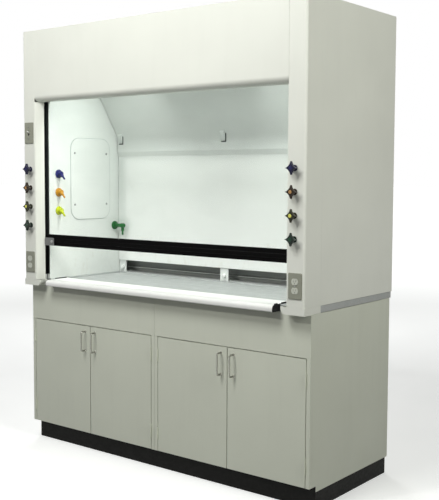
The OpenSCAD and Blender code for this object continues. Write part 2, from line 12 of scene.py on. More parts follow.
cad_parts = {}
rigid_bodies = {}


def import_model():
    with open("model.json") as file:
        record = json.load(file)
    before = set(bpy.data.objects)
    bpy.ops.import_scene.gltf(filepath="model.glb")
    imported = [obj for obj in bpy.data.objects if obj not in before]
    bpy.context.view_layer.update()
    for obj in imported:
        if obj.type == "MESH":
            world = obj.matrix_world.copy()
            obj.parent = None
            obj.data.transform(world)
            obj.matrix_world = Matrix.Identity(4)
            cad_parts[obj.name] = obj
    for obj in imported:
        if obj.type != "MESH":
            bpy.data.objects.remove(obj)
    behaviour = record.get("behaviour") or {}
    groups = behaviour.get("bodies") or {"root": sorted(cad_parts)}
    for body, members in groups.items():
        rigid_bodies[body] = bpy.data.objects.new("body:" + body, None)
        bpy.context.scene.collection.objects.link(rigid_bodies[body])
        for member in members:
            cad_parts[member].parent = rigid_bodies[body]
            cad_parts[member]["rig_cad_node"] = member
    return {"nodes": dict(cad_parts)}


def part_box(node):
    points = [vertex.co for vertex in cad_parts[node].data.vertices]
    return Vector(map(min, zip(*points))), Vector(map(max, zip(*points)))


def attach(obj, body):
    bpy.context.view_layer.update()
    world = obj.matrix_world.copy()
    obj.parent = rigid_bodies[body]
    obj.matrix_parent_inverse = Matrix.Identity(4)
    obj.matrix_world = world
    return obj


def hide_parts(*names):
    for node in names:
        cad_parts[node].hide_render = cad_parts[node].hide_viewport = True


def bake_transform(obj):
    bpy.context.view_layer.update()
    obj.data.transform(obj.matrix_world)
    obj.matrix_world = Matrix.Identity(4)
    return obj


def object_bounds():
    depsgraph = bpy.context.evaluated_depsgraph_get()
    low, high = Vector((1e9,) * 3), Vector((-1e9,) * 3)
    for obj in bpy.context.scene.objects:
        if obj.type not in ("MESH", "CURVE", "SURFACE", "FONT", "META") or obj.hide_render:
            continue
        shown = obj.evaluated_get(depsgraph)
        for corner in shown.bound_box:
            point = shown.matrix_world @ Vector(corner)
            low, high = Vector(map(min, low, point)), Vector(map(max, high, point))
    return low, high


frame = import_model()

# Blender's own start-up objects go, so that only the CAD's nodes and bodies are left.
for item in list(bpy.data.objects):
    if item.type != "EMPTY" and "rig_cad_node" not in item:
        bpy.data.objects.remove(item)
bpy.context.view_layer.update()
CAD_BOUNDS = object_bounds()

MM = 0.001
SIDES = {"left": -1, "right": 1}
CREASE_ANGLE = math.radians(35)
FLAT_ANGLE = 0.01
WELD_DISTANCE = 0.01 * MM


# ---- materials

class Finish:
    """A material's node tree. Each call adds nodes and gives back the output to use next."""

    def __init__(self, name, colour, roughness, **sockets):
        self.material = bpy.data.materials.new(name)
        self.material.use_nodes = True
        self.tree = self.material.node_tree
        self.shader = self.tree.nodes["Principled BSDF"]
        self.place = self.node("TexCoord").outputs["Object"]
        self.set("Base Color", colour)
        self.set("Roughness", roughness)
        for socket, value in sockets.items():
            self.set(socket.replace("_", " "), value)

    def set(self, socket, value):
        """Sets or joins an input of the shader."""
        self.join(value, self.shader.inputs[socket])

    def join(self, value, target):
        """Puts a number, a colour or another node's output into a socket."""
        if isinstance(value, bpy.types.NodeSocket):
            self.tree.links.new(value, target)
        elif target.type == "RGBA":
            target.default_value = (*value, 1)
        else:
            target.default_value = value

    def node(self, kind, inputs=(), **settings):
        """Adds a shader node with its settings, and fills or joins its inputs."""
        made = self.tree.nodes.new("ShaderNode" + kind)
        for name, value in settings.items():
            setattr(made, name, value)
        for socket, value in dict(inputs).items():
            self.join(value, made.inputs[socket])
        return made

    def noise(self, size, detail=2, stretch=(1, 1, 1)):
        """Noise from 0 to 1 with features of about that size, longer along an axis with a large stretch."""
        scale = [1 / (size * s) for s in stretch]
        spot = self.node("Mapping", {"Vector": self.place, "Scale": scale}).outputs[0]
        return self.node("TexNoise", {"Vector": spot, "Scale": 1, "Detail": detail}).outputs[0]

    def remap(self, value, low, high, to_low=0, to_high=1):
        """Maps the range from low to high onto another, and clamps it there."""
        sockets = {"Value": value, "From Min": low, "From Max": high, "To Min": to_low, "To Max": to_high}
        return self.node("MapRange", sockets).outputs[0]

    def math(self, operation, a, b):
        """The result of an operation on two numbers or outputs."""
        return self.node("Math", {0: a, 1: b}, operation=operation).outputs[0]

    def mix(self, share, a, b):
        """A mix of two colours: a where the share is 0, and b where it is 1."""
        return self.node("Mix", {0: share, 6: a, 7: b}, data_type="RGBA").outputs[2]

    def height(self, axis, low, high):
        """0 below low and 1 above high, along an axis of the object."""
        split = self.node("SeparateXYZ", {0: self.place}).outputs[axis]
        return self.remap(split, low, high)

    def vary_roughness(self, size, detail, low, high):
        """Lets the roughness drift between low and high over patches of about that size."""
        self.set("Roughness", self.remap(self.noise(size, detail), 0.3, 0.7, low, high))

    def edges(self, radius=1.2 * MM):
        """1 on worn edges and corners, 0 on flat faces."""
        rounded = self.node("Bevel", {"Radius": radius}, samples=4).outputs[0]
        flat = self.node("NewGeometry").outputs["Normal"]
        facing = self.node("VectorMath", {0: rounded, 1: flat}, operation="DOT_PRODUCT").outputs["Value"]
        nearly_flat, rounded_off = 0.985, 0.90
        return self.remap(facing, nearly_flat, rounded_off)

    def bump(self, height, depth):
        """Raises the surface by up to depth, on top of any bump that is there already."""
        made = self.node("Bump", {"Height": height, "Distance": depth, "Strength": 1})
        before = self.shader.inputs["Normal"].links
        if before:
            self.join(before[0].from_socket, made.inputs["Normal"])
        self.set("Normal", made.outputs[0])


def shade(colour, factor):
    """A colour made darker or lighter."""
    return tuple(min(1, channel * factor) for channel in colour)


def powder_coat(name, colour, roughness, peel=0.05 * MM, dirt=0.12, bare=(0.34, 0.34, 0.32)):
    """Sprayed and baked paint: fine orange peel, faint clouding, dirt runs and thin edges."""
    finish = Finish(name, colour, roughness)
    clouds = finish.noise(0.35, 4)
    tone = finish.mix(finish.remap(clouds, 0.3, 0.7), shade(colour, 0.975), shade(colour, 1.02))
    runs = finish.remap(finish.noise(0.05, 3, (1, 1, 9)), 0.52, 0.8, 0, dirt)
    tone = finish.mix(runs, tone, shade(colour, 0.72))
    chips = finish.remap(finish.noise(9 * MM, 3), 0.55, 0.68)
    worn = finish.math("MULTIPLY", finish.edges(), finish.math("MULTIPLY", chips, 0.5))
    tone = finish.mix(worn, tone, bare)
    finish.set("Base Color", tone)
    finish.vary_roughness(0.12, 5, roughness - 0.05, roughness + 0.07)
    finish.bump(finish.noise(1.6 * MM, 2), peel)
    return finish.material


def moulded(name, colour, roughness, grain=0.04 * MM, coat=0.0, wear=1.0, shine=0.5):
    """Moulded plastic or rubber: a fine grain, dust and rubbed edges that wear makes lighter."""
    finish = Finish(name, colour, roughness, Coat_Weight=coat, Coat_Roughness=0.15, Specular_IOR_Level=shine)
    dust = finish.remap(finish.noise(0.04, 4), 0.45, 0.75, 0, 0.25)
    dusty = tuple(channel * 0.8 + 0.02 * wear for channel in colour)
    rubbed = tuple(channel * 0.7 + 0.12 * wear for channel in colour)
    tone = finish.mix(dust, colour, dusty)
    tone = finish.mix(finish.math("MULTIPLY", finish.edges(0.8 * MM), 0.35), tone, rubbed)
    finish.set("Base Color", tone)
    finish.vary_roughness(0.015, 3, roughness - 0.06, roughness + 0.1)
    finish.bump(finish.noise(0.7 * MM, 2), grain)
    return finish.material


def enamelled(name, colour, coat):
    """Smooth coloured plastic with little dust on it."""
    return moulded(name, colour, 0.32, coat=coat, wear=0.15, shine=0.3)


def metal(name, colour, roughness, stretch=(1, 1, 1), scratch=0.02 * MM):
    """Bare or plated metal with a grain that runs along the stretched axis."""
    finish = Finish(name, colour, roughness, Metallic=1)
    grain = finish.noise(0.9 * MM, 3, stretch)
    cloud = finish.noise(0.02, 3)
    tone = finish.mix(finish.remap(grain, 0.35, 0.65), shade(colour, 0.86), shade(colour, 1.06))
    tone = finish.mix(finish.remap(cloud, 0.5, 0.8, 0, 0.3), tone, shade(colour, 0.7))
    finish.set("Base Color", tone)
    finish.set("Roughness", finish.remap(cloud, 0.3, 0.7, roughness - 0.08, roughness + 0.12))
    finish.bump(grain, scratch)
    return finish.material


def zinc(name, colour, roughness):
    """Zinc plating with its crystal pattern."""
    finish = Finish(name, colour, roughness, Metallic=1)
    crystals_per_metre = 180
    crystals = finish.node("TexVoronoi", {"Vector": finish.place, "Scale": crystals_per_metre})
    grey = finish.node("RGBToBW", {0: crystals.outputs["Color"]}).outputs[0]
    finish.set("Base Color", finish.mix(grey, shade(colour, 0.8), shade(colour, 1.15)))
    finish.set("Roughness", finish.remap(grey, 0, 1, roughness - 0.1, roughness + 0.15))
    finish.bump(finish.noise(3 * MM, 3), 0.03 * MM)
    return finish.material


def cast_resin(name, colour):
    """Dark cast resin: fine speckle and a faint darker mottle."""
    finish = Finish(name, colour, 0.42)
    speck = finish.remap(finish.noise(1.1 * MM, 2), 0.42, 0.66)
    tone = finish.mix(speck, shade(colour, 0.86), shade(colour, 1.16))
    tone = finish.mix(finish.remap(finish.noise(0.09, 4), 0.4, 0.75, 0, 0.35), tone, shade(colour, 0.8))
    finish.set("Base Color", tone)
    finish.vary_roughness(0.05, 5, 0.34, 0.55)
    finish.bump(finish.noise(0.8 * MM, 2), 0.02 * MM)
    return finish.material


def liner_sheet(name, colour):
    """Glass-filled liner sheet: a soft mottle, splashes low down and a satin face."""
    finish = Finish(name, colour, 0.34)
    mottle = finish.remap(finish.noise(0.018, 4), 0.35, 0.65)
    tone = finish.mix(mottle, shade(colour, 0.985), shade(colour, 1.01))
    low = finish.math("SUBTRACT", 1, finish.height("Z", 0.95, 1.45))
    drops = finish.remap(finish.noise(0.03, 5, (1, 1, 2)), 0.58, 0.72, 0, 0.18)
    stain = (0.62, 0.6, 0.5)
    finish.set("Base Color", finish.mix(finish.math("MULTIPLY", drops, low), tone, stain))
    finish.vary_roughness(0.08, 4, 0.28, 0.44)
    finish.bump(finish.noise(2.2 * MM, 3), 0.03 * MM)
    return finish.material


def clear_sheet(name, colour, alpha, roughness):
    """Glass that lets the light through, with a few wiped smears on it."""
    finish = Finish(name, colour, roughness, IOR=1.5)
    smear = finish.remap(finish.noise(0.12, 5, (2, 1, 1)), 0.45, 0.75)
    finish.set("Alpha", finish.remap(smear, 0, 1, alpha, alpha + 0.02))
    finish.set("Roughness", finish.remap(smear, 0, 1, roughness, roughness + 0.12))
    return finish.material


def lamp_tube(name, strength):
    """A lit fluorescent tube, a little dimmer towards its ends."""
    finish = Finish(name, (0.9, 0.92, 0.9), 0.3, Emission_Color=(0.93, 1, 0.95))
    across = finish.node("SeparateXYZ", {0: finish.place}).outputs["X"]
    from_middle = finish.math("ABSOLUTE", across, 0)
    cloud = finish.remap(finish.noise(0.05, 2), 0.3, 0.7, 0.95, 1.05)
    tube_end, bright_part = 0.6, 0.5
    glow = finish.math("MULTIPLY", finish.remap(from_middle, tube_end, bright_part, 0.35, 1), cloud)
    finish.set("Emission Strength", finish.math("MULTIPLY", glow, strength))
    return finish.material


def pale_floor(name, colour, glow):
    """A plain floor with a soft glow that grows with distance, up to the backdrop's white."""
    finish = Finish(name, colour, 0.6, Emission_Color=colour)
    away = finish.node("VectorMath", {0: finish.place}, operation="LENGTH").outputs["Value"]
    fade_start, fade_end, far_glow = 2.5, 9, 1.2
    finish.set("Emission Strength", finish.remap(away, fade_start, fade_end, glow, far_glow))
    finish.set("Base Color", finish.mix(finish.noise(1.5, 4), shade(colour, 0.97), shade(colour, 1.02)))
    finish.vary_roughness(0.3, 4, 0.5, 0.7)
    finish.bump(finish.noise(8 * MM, 3), 0.1 * MM)
    return finish.material


ENAMEL = powder_coat("enamel", (0.80, 0.82, 0.745), 0.36, dirt=0.05)
CABINET = powder_coat("cabinet paint", (0.68, 0.71, 0.6), 0.42, dirt=0.1)
AIRFOIL = powder_coat("airfoil paint", (0.86, 0.87, 0.84), 0.33)
BRACKET = powder_coat("bracket paint", (0.76, 0.79, 0.76), 0.36)
PRIMER = powder_coat("grey primer", (0.06, 0.065, 0.065), 0.6, peel=0.15 * MM, bare=(0.2, 0.19, 0.18))
BASE = moulded("base black", (0.011, 0.011, 0.01), 0.6, grain=0.1 * MM, wear=0.4, shine=0.15)
CAP = moulded("cap black", (0.008, 0.008, 0.008), 0.5, wear=0.3, shine=0.3)
RAIL = moulded("rail black", (0.0015, 0.0015, 0.0015), 0.6, grain=0.01 * MM, wear=0.05, shine=0.06)
TRACK = moulded("track black", (0.0015, 0.0015, 0.0015), 0.6, wear=0.08, shine=0.08)
TRACK_FOOT = moulded("track foot", (0.5, 0.51, 0.49), 0.5)
RESIN = cast_resin("worktop resin", (0.43, 0.45, 0.44))
LINER = liner_sheet("liner sheet", (0.85, 0.88, 0.845))
# Painted shade: the rear liner is the same white sheet as the rest of the liner, coloured dark grey for the
# shade it lies in behind the baffle.
PAINTED_SHADE_REAR_LINER = moulded("rear sheet painted shade", (0.3, 0.31, 0.295), 0.5)
# Painted shade: the front lintel is white liner sheet, coloured dark grey for the shaded gap under the
# header's lower edge.
PAINTED_SHADE_LINTEL = moulded("lintel painted shade", (0.2, 0.22, 0.2), 0.5)
GASKET = moulded("gasket grey", (0.5, 0.55, 0.52), 0.6)
PULL = metal("pull steel", (0.36, 0.36, 0.32), 0.32, (1, 1, 14))
STEEL = zinc("plated steel", (0.5, 0.51, 0.5), 0.4)
SCREW = metal("screw steel", (0.4, 0.41, 0.4), 0.38)
LOCK = moulded("lock grey", (0.17, 0.175, 0.17), 0.45)
LOCK_KNOB = moulded("lock knob grey", (0.42, 0.43, 0.42), 0.4)
# Painted shadow: near black for the shade beside and under the baffle's hooks.
PAINTED_HOOK_SHADOW = moulded("hook painted shadow", (0.004, 0.004, 0.004), 0.7, wear=0.1, shine=0.1)
BRASS = metal("valve brass", (0.55, 0.4, 0.18), 0.36)
SASH = clear_sheet("sash glass", (0.62, 0.76, 0.7), 0.012, 0.04)
LENS = clear_sheet("lens glass", (0.9, 0.95, 0.92), 0.35, 0.25)
TUBE = lamp_tube("lit tube", 3)
PLATE = moulded("device plate", (0.285, 0.295, 0.235), 0.5)
RECEPTACLE = moulded("receptacle", (0.6, 0.62, 0.54), 0.42)
TOGGLE = moulded("toggle white", (0.85, 0.86, 0.82), 0.3)
BUTTON = moulded("white button", (0.84, 0.86, 0.83), 0.4)
CABLE = metal("cable steel", (0.5, 0.51, 0.5), 0.4, (1, 1, 3))

COATS = {
    "blue": enamelled("coat blue", (0.0015, 0.002, 0.12), 0.1),
    "orange": enamelled("coat orange", (0.55, 0.26, 0.004), 0.1),
    "yellow": enamelled("coat yellow", (0.52, 0.6, 0.004), 0.1),
    "green": enamelled("coat green", (0.0015, 0.12, 0.016), 0.25),
}
STARS = {
    "blue": enamelled("star navy", (0.006, 0.006, 0.035), 0.15),
    "orange": enamelled("star brown", (0.022, 0.012, 0.005), 0.15),
    "yellow": enamelled("star olive", (0.018, 0.018, 0.004), 0.15),
    "green": enamelled("star green", (0.002, 0.013, 0.006), 0.15),
}
DISCS = {
    "blue": enamelled("disc navy", (0.012, 0.013, 0.085), 0.2),
    "orange": enamelled("disc orange", (0.45, 0.25, 0.09), 0.2),
    "yellow": enamelled("disc yellow", (0.72, 0.72, 0.14), 0.2),
    "green": enamelled("disc green", (0.006, 0.045, 0.018), 0.2),
}


# ---- shapes

def finish_mesh(shape, name, materials):
    """Turns a bmesh into an object that is smooth up to its creases."""
    bmesh.ops.recalc_face_normals(shape, faces=shape.faces)
    mesh = bpy.data.meshes.new(name)
    shape.to_mesh(mesh)
    shape.free()
    if "custom_normal" in mesh.attributes:
        mesh.attributes.remove(mesh.attributes["custom_normal"])
    for material in materials:
        mesh.materials.append(material)
    mesh.polygons.foreach_set("use_smooth", [True] * len(mesh.polygons))
    mesh.set_sharp_from_angle(angle=CREASE_ANGLE)
    made = bpy.data.objects.new(name, mesh)
    bpy.context.scene.collection.objects.link(made)
    weighted = made.modifiers.new("even shading", "WEIGHTED_NORMAL")
    weighted.keep_sharp = True
    return made


def round_edges(shape, edges, width, segments=2):
    """Gives those edges of a mesh a round bevel."""
    bmesh.ops.bevel(shape, geom=edges, offset=width, offset_type="OFFSET", segments=segments,
                    profile=0.5, affect="EDGES", clamp_overlap=True)


def creases(shape):
    """The edges where two faces meet at an angle."""
    return [e for e in shape.edges if len(e.link_faces) == 2 and e.calc_face_angle(0) > CREASE_ANGLE]


def islands(shape):
    """The separate closed parts of a mesh, each as a list of faces."""
    left = set(shape.faces)
    while left:
        group = [left.pop()]
        for face in group:
            for edge in face.edges:
                near = [f for f in edge.link_faces if f in left]
                left.difference_update(near)
                group.extend(near)
        yield group


def box_of(faces):
    """The lowest and highest corners of some faces."""
    places = [vert.co for face in faces for vert in face.verts]
    low = Vector(min(p[axis] for p in places) for axis in range(3))
    high = Vector(max(p[axis] for p in places) for axis in range(3))
    return low, high


def dress(node, material, edge=0.7 * MM):
    """A flat-sided CAD node keeps its shape and gets a finish and fine round edges."""
    made = frame["nodes"][node]
    made.data.materials.clear()
    made.data.materials.append(material)
    made.modifiers.new("join corners", "WELD").merge_threshold = WELD_DISTANCE
    flat = made.modifiers.new("flat faces", "DECIMATE")
    flat.decimate_type = "DISSOLVE"
    flat.angle_limit = FLAT_ANGLE
    bevel = made.modifiers.new("round edges", "BEVEL")
    bevel.width = edge
    bevel.segments = 2
    bevel.limit_method = "ANGLE"
    bevel.angle_limit = CREASE_ANGLE
    bevel.harden_normals = True


def refine(node, *materials, pick=lambda low, high: 0, edge=0.7 * MM, segments=2, body="hood", slot=None):
    """A smooth copy of a CAD node with round edges. pick chooses each part's material from its box."""
    shape = bmesh.new()
    shape.from_mesh(frame["nodes"][node].data)
    bmesh.ops.remove_doubles(shape, verts=shape.verts, dist=WELD_DISTANCE)
    bmesh.ops.dissolve_limit(shape, angle_limit=FLAT_ANGLE, verts=shape.verts, edges=shape.edges)
    for part in islands(shape):
        index = pick(*box_of(part))
        for face in part:
            face.material_index = index
    if edge:
        round_edges(shape, creases(shape), edge, segments)
    made = finish_mesh(shape, node + "_skin", materials)
    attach(made, body)
    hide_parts(node)
    return made


def around(axis):
    """Two directions at right angles to an axis."""
    axis = Vector(axis).normalized()
    first = axis.orthogonal().normalized()
    if abs(axis.x) < 0.9:
        first = (Vector((1, 0, 0)) - axis * axis.x).normalized()
    return first, axis.cross(first)


class Piece:
    """One visible piece, joined from closed solids that may each have their own material."""

    def __init__(self, name):
        self.name = name
        self.shape = bmesh.new()
        self.materials = []

    def index(self, material):
        """The place of a material in this piece's list, where it is added if it is new."""
        if material not in self.materials:
            self.materials.append(material)
        return self.materials.index(material)

    def add(self, part, material, edge=0):
        """Adds a small bmesh, with its creases rounded if an edge width is given."""
        bmesh.ops.recalc_face_normals(part, faces=part.faces)
        if edge:
            round_edges(part, creases(part), edge)
        for face in part.faces:
            face.material_index = self.index(material)
        carrier = bpy.data.meshes.new("part")
        part.to_mesh(carrier)
        part.free()
        self.shape.from_mesh(carrier)
        bpy.data.meshes.remove(carrier)

    def loft(self, rings, material, edge=0):
        """A closed solid through rings of points, with a flat face at each end."""
        part = bmesh.new()
        loops = [[part.verts.new(point) for point in ring] for ring in rings]
        for below, above in zip(loops, loops[1:]):
            for i, vert in enumerate(below):
                part.faces.new((below[i - 1], vert, above[i], above[i - 1]))
        part.faces.new(reversed(loops[0]))
        part.faces.new(loops[-1])
        self.add(part, material, edge)

    def block(self, low, high, material, edge=0.5 * MM):
        """A box from its lowest corner to its highest."""
        corners = [(0, 0), (1, 0), (1, 1), (0, 1)]
        ends = (low, high)
        rings = [[(ends[i][0], ends[j][1], z) for i, j in corners] for z in (low[2], high[2])]
        self.loft(rings, material, edge)

    def prism(self, outline, start, end, material, edge=0.5 * MM):
        """A solid between two copies of an outline, one moved by start and one by end."""
        self.loft([[Vector(p) + Vector(shift) for p in outline] for shift in (start, end)], material, edge)

    def lathe(self, origin, axis, profile, material, sides=40):
        """A turned solid: profile is a list of (radius, distance along the axis)."""
        axis = Vector(axis).normalized()
        first, second = around(axis)
        rings = []
        for radius, along in profile:
            centre = Vector(origin) + axis * along
            rings.append([centre + first * radius * math.cos(turn) + second * radius * math.sin(turn)
                          for turn in (math.tau * i / sides for i in range(sides))])
        self.loft(rings, material)

    def tube(self, path, radius, material, sides=16):
        """A round bar along a path of points."""
        path = [Vector(p) for p in path]
        rings = []
        across = around(path[1] - path[0])[0]
        for i, point in enumerate(path):
            ahead = (path[min(i + 1, len(path) - 1)] - path[max(i - 1, 0)]).normalized()
            across = (across - ahead * across.dot(ahead)).normalized()
            second = ahead.cross(across)
            rings.append([point + (across * math.cos(turn) + second * math.sin(turn)) * radius
                          for turn in (math.tau * k / sides for k in range(sides))])
        self.loft(rings, material)

    def screw(self, origin, axis, radius, turn):
        """A slotted screw head: a low disc with two raised halves, turned about its axis."""
        axis = Vector(axis).normalized()
        disc_top, head_top, halves = radius * 0.3, radius * 0.62, radius * 0.86
        disc = [(radius, 0), (radius, disc_top), (radius * 0.93, radius * 0.38)]
        self.lathe(origin, axis, disc, SCREW, 28)
        first, second = around(axis)
        swing = Matrix.Rotation(turn, 3, axis)
        first, second = swing @ first, swing @ second
        for side in (-1, 1):
            half = [Vector(origin) + side * (first * math.cos(a) + second * math.sin(a)) * halves
                    for a in (math.radians(d) for d in range(12, 169, 12))]
            self.prism(half, axis * disc_top, axis * head_top, SCREW, radius * 0.09)

    def done(self, body="hood", slot=None, replaces=()):
        """Makes the object, and says what it rides on and the CAD nodes that it stands for; its slot is not
        used.
        """
        made = finish_mesh(self.shape, self.name, self.materials)
        if body:
            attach(made, body)
        if replaces:
            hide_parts(*replaces)
        return made


def middle(node):
    """The middle of a CAD node's box."""
    low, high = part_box(node)
    return (low + high) / 2


def in_mm(pairs):
    """Pairs given in millimetres, in metres."""
    return [(a * MM, b * MM) for a, b in pairs]


def arc(centre, radius, start, end, steps=6):
    """Points on an arc, as pairs, with angles in degrees."""
    for i in range(steps + 1):
        angle = math.radians(start + (end - start) * i / steps)
        yield centre[0] + radius * math.cos(angle), centre[1] + radius * math.sin(angle)


def rounded(centre, width, height, radius, steps=6):
    """The outline of a rectangle with round corners, as pairs."""
    points = []
    for i, (sx, sy) in enumerate(((1, 1), (-1, 1), (-1, -1), (1, -1))):
        corner = (centre[0] + sx * (width / 2 - radius), centre[1] + sy * (height / 2 - radius))
        points.extend(arc(corner, radius, 90 * i, 90 * i + 90, steps))
    return points


# ---- base cabinets

def cabinets():
    """The two cabinets with their base, and the four doors with their hinges and pulls."""
    for node in ("left_cabinet_body", "right_cabinet_body", "cabinet_shelves", "apron_panels"):
        dress(node, CABINET)
    dress("toe_base", BASE)
    refine("hinge_frame_leaves", CABINET, edge=0.3 * MM)
    for cabinet in SIDES:
        for side in SIDES:
            door = f"{cabinet}_cabinet_{side}_door"
            refine(door, CABINET, edge=0.9 * MM, segments=3, body=door)
            wire_pull(f"{cabinet}_cabinet_{side}_pull", door)


def wire_pull(node, body):
    """A bent wire handle whose legs stand in small flared ferrules."""
    low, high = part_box(node)
    radius = (high.x - low.x) / 2
    x = middle(node).x
    front = low.y + radius
    ends = (low.z + radius, high.z - radius)
    bend = 6.5 * MM
    path = [(high.y, ends[0])]
    path += arc((front + bend, ends[0] + bend), bend, 270, 180, 10)
    path += arc((front + bend, ends[1] - bend), bend, 180, 90, 10)
    path.append((high.y, ends[1]))
    piece = Piece(node + "_wire")
    piece.tube([(x, y, z) for y, z in path], radius, PULL, 24)
    flare = [(7, 0), (7, 0.7), (6.6, 1.3), (5.4, 2), (4.6, 3.6), (4.3, 4.2)]
    for z in ends:
        piece.lathe((x, high.y, z), (0, -1, 0), in_mm(flare), PULL)
    piece.done(body, "pull_steel", [node])


# ---- casing and liner

def casing():
    """The hood's outer panels, its liner, baffle, worktop, airfoil and roof."""
    for node in ("left_side_panel", "right_side_panel", "rear_panel"):
        dress(node, ENAMEL)
    for node in ("left_post", "right_post", "post_feet", "front_header", "roof_panel", "light_housing"):
        refine(node, ENAMEL, edge=0.6 * MM, slot="enamel")
    for node in ("ceiling_liner", "side_liners", "upper_baffle"):
        refine(node, LINER, edge=0.8 * MM, slot="liner_white")
    dress("lower_baffle", LINER)
    # The rear liner gets the dark grey painted shade, not its own white.
    dress("rear_liner", PAINTED_SHADE_REAR_LINER)
    # The front lintel gets the dark grey painted shade of the gap under the header.
    dress("front_lintel", PAINTED_SHADE_LINTEL)
    dress("worktop", RESIN, 1.5 * MM)
    refine("airfoil", AIRFOIL, edge=0.6 * MM, slot="airfoil_white")
    refine("airfoil_end_caps", CAP, edge=0.6 * MM, slot="cap_black")
    cap_rims()
    refine("access_panels", LINER, edge=2.4 * MM, segments=3, slot="liner_white")
    refine("panel_screws", SCREW, edge=0.2 * MM, slot="fitting_steel")
    refine("exhaust_collar", STEEL, edge=0.5 * MM, slot="fitting_steel")
    roof_screws()
    baffle_brackets()
    baffle_joint()
    panel_gaskets()
    rear_ledge()


def cap_rims():
    """A black rim on each end cap, low where the closed sash's rail comes down."""
    low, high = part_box("airfoil")
    rail_low, rail_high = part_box("sash_rail")
    nose, clear, sunk = 16 * MM, 4 * MM, 2 * MM
    inner, outer = high.x + 0.1 * MM, high.x + 4.5 * MM
    full_rise, low_rise = 5 * MM, 0.6 * MM
    stretches = [
        (low.y + nose, rail_low.y - clear, full_rise),
        (rail_low.y - clear, rail_high.y + clear, low_rise),
        (rail_high.y + clear, high.y, full_rise),
    ]
    piece = Piece("end_cap_rims")
    for side in SIDES.values():
        left, right = sorted((side * inner, side * outer))
        for start, end, rise in stretches:
            piece.block((left, start, high.z - sunk), (right, end, high.z + rise), CAP, 0.3 * MM)
    piece.done(slot="cap_black")


def roof_screws():
    """Screws along the rear and the side edges of the roof panel."""
    low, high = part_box("roof_panel")
    inset, radius = 12 * MM, 4 * MM
    first_y, pitch_y = low.y + 0.12, 0.17
    piece = Piece("roof_screws")
    for i in range(9):
        x = low.x + inset + (high.x - low.x - 2 * inset) * i / 8
        piece.screw((x, high.y - inset, high.z), (0, 0, 1), radius, turn=i)
    for x in (low.x + inset, high.x - inset):
        for i in range(4):
            piece.screw((x, first_y + pitch_y * i, high.z), (0, 0, 1), radius, turn=2 * i + x)
    piece.done(slot="fitting_steel")


def baffle_brackets():
    """The legs and hooks that hold the baffle, with a domed button on the front of each leg."""
    refine("baffle_brackets", BRACKET, edge=0.9 * MM, slot="bracket_paint")
    low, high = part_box("baffle_brackets")
    inset = 28 * MM
    stations = (low.x + inset, 0, high.x - inset)
    # Thin dark sheets paint the hooks' shadows on the baffle.
    painted_hook_shadows(stations)
    leg_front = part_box("lower_baffle")[1].y + 1 * MM
    button_z = low.z + 26 * MM
    dome = [(13, 0), (13, 5), (12.4, 7.5), (10.5, 9.6), (7, 11), (2, 11.6)]
    piece = Piece("baffle_leg_buttons")
    for x in stations:
        piece.lathe((x, leg_front, button_z), (0, -1, 0), in_mm(dome), BUTTON)
    piece.done(slot="bracket_paint")


def painted_hook_shadows(stations):
    """Thin dark sheets on the baffle beside and under each hook: painted shadow of the hook over the slot it
    reaches through.
    """
    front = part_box("lower_baffle")[0].y - 9 * MM
    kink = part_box("upper_baffle")[0].z + 89 * MM
    # The sheets reach further to the right and down, where the hooks' painted shadow falls.
    left, right, depth = 14 * MM, 20 * MM, 0.8 * MM
    bottom, top = kink - 46 * MM, kink + 2 * MM
    piece = Piece("baffle_hook_painted_shadows")
    for x in stations:
        piece.block((x - left, front - depth, bottom), (x + right, front, top), PAINTED_HOOK_SHADOW, 0.3 * MM)
    piece.done(slot="bracket_paint")


def baffle_joint():
    """A sealing strip under the lip of the upper baffle, tapered down to the lower one."""
    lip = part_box("upper_baffle")[0].z
    low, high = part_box("lower_baffle")
    face, front = low.y - 0.1 * MM, low.y - 8.7 * MM
    top, bend, bottom = lip + 4 * MM, lip - 1 * MM, lip - 26 * MM
    outline = [(face, top), (front, top), (front, bend), (low.y - 1 * MM, bottom), (face, bottom)]
    piece = Piece("baffle_joint_strip")
    piece.prism([(0, y, z) for y, z in outline], (low.x, 0, 0), (high.x, 0, 0), LINER)
    piece.done(slot="liner_white")


def panel_gaskets():
    """A grey gasket that shows as a fine line around each access panel."""
    low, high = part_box("access_panels")
    show, panel_radius, thickness = 3 * MM, 60 * MM, 1.2 * MM
    width, height = high.y - low.y + 2 * show, high.z - low.z + 2 * show
    outline = rounded(middle("access_panels").yz, width, height, panel_radius + show, 10)
    wall = high.x + 0.1 * MM
    piece = Piece("access_panel_gaskets")
    for side in SIDES.values():
        points = [(0, y, z) for y, z in outline]
        piece.prism(points, (side * wall, 0, 0), (side * (wall - thickness), 0, 0), GASKET, 0.4 * MM)
    piece.done(slot="liner_white")


def rear_ledge():
    """A pale angle along the foot of the rear liner."""
    low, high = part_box("rear_liner")
    top, front, inset = low.z + 24 * MM, low.y - 14 * MM, 8 * MM
    underside = top - 3 * MM
    leg = [(low.y, top), (front, top), (front, underside), (low.y, underside)]
    piece = Piece("rear_liner_ledge")
    piece.prism([(0, y, z) for y, z in leg], (low.x + inset, 0, 0), (high.x - inset, 0, 0), BRACKET)
    piece.done(slot="liner_white")


def light():
    """The ceiling light: two lit tubes with metal end caps above a lens."""
    shortest_tube = 0.5
    refine("light_tubes", TUBE, STEEL, edge=0.5 * MM, slot="tube_white",
           pick=lambda low, high: 0 if high.x - low.x > shortest_tube else 1)
    dress("light_lens", LENS)
    low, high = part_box("light_tubes")
    tube_radius, cap_start, inset = 13 * MM, 0.583, 15 * MM
    over, inside = tube_radius + 0.4 * MM, tube_radius - 2 * MM
    profile = [(over, 0), (over, 16 * MM), (inside, 17.5 * MM)]
    z = middle("light_lens").z + 32 * MM
    piece = Piece("light_tube_caps")
    for y in (low.y + inset, high.y - inset):
        for side in SIDES.values():
            piece.lathe((side * cap_start, y, z), (side, 0, 0), profile, STEEL)
    piece.done(slot="fitting_steel")


# ---- sash and its counterweight

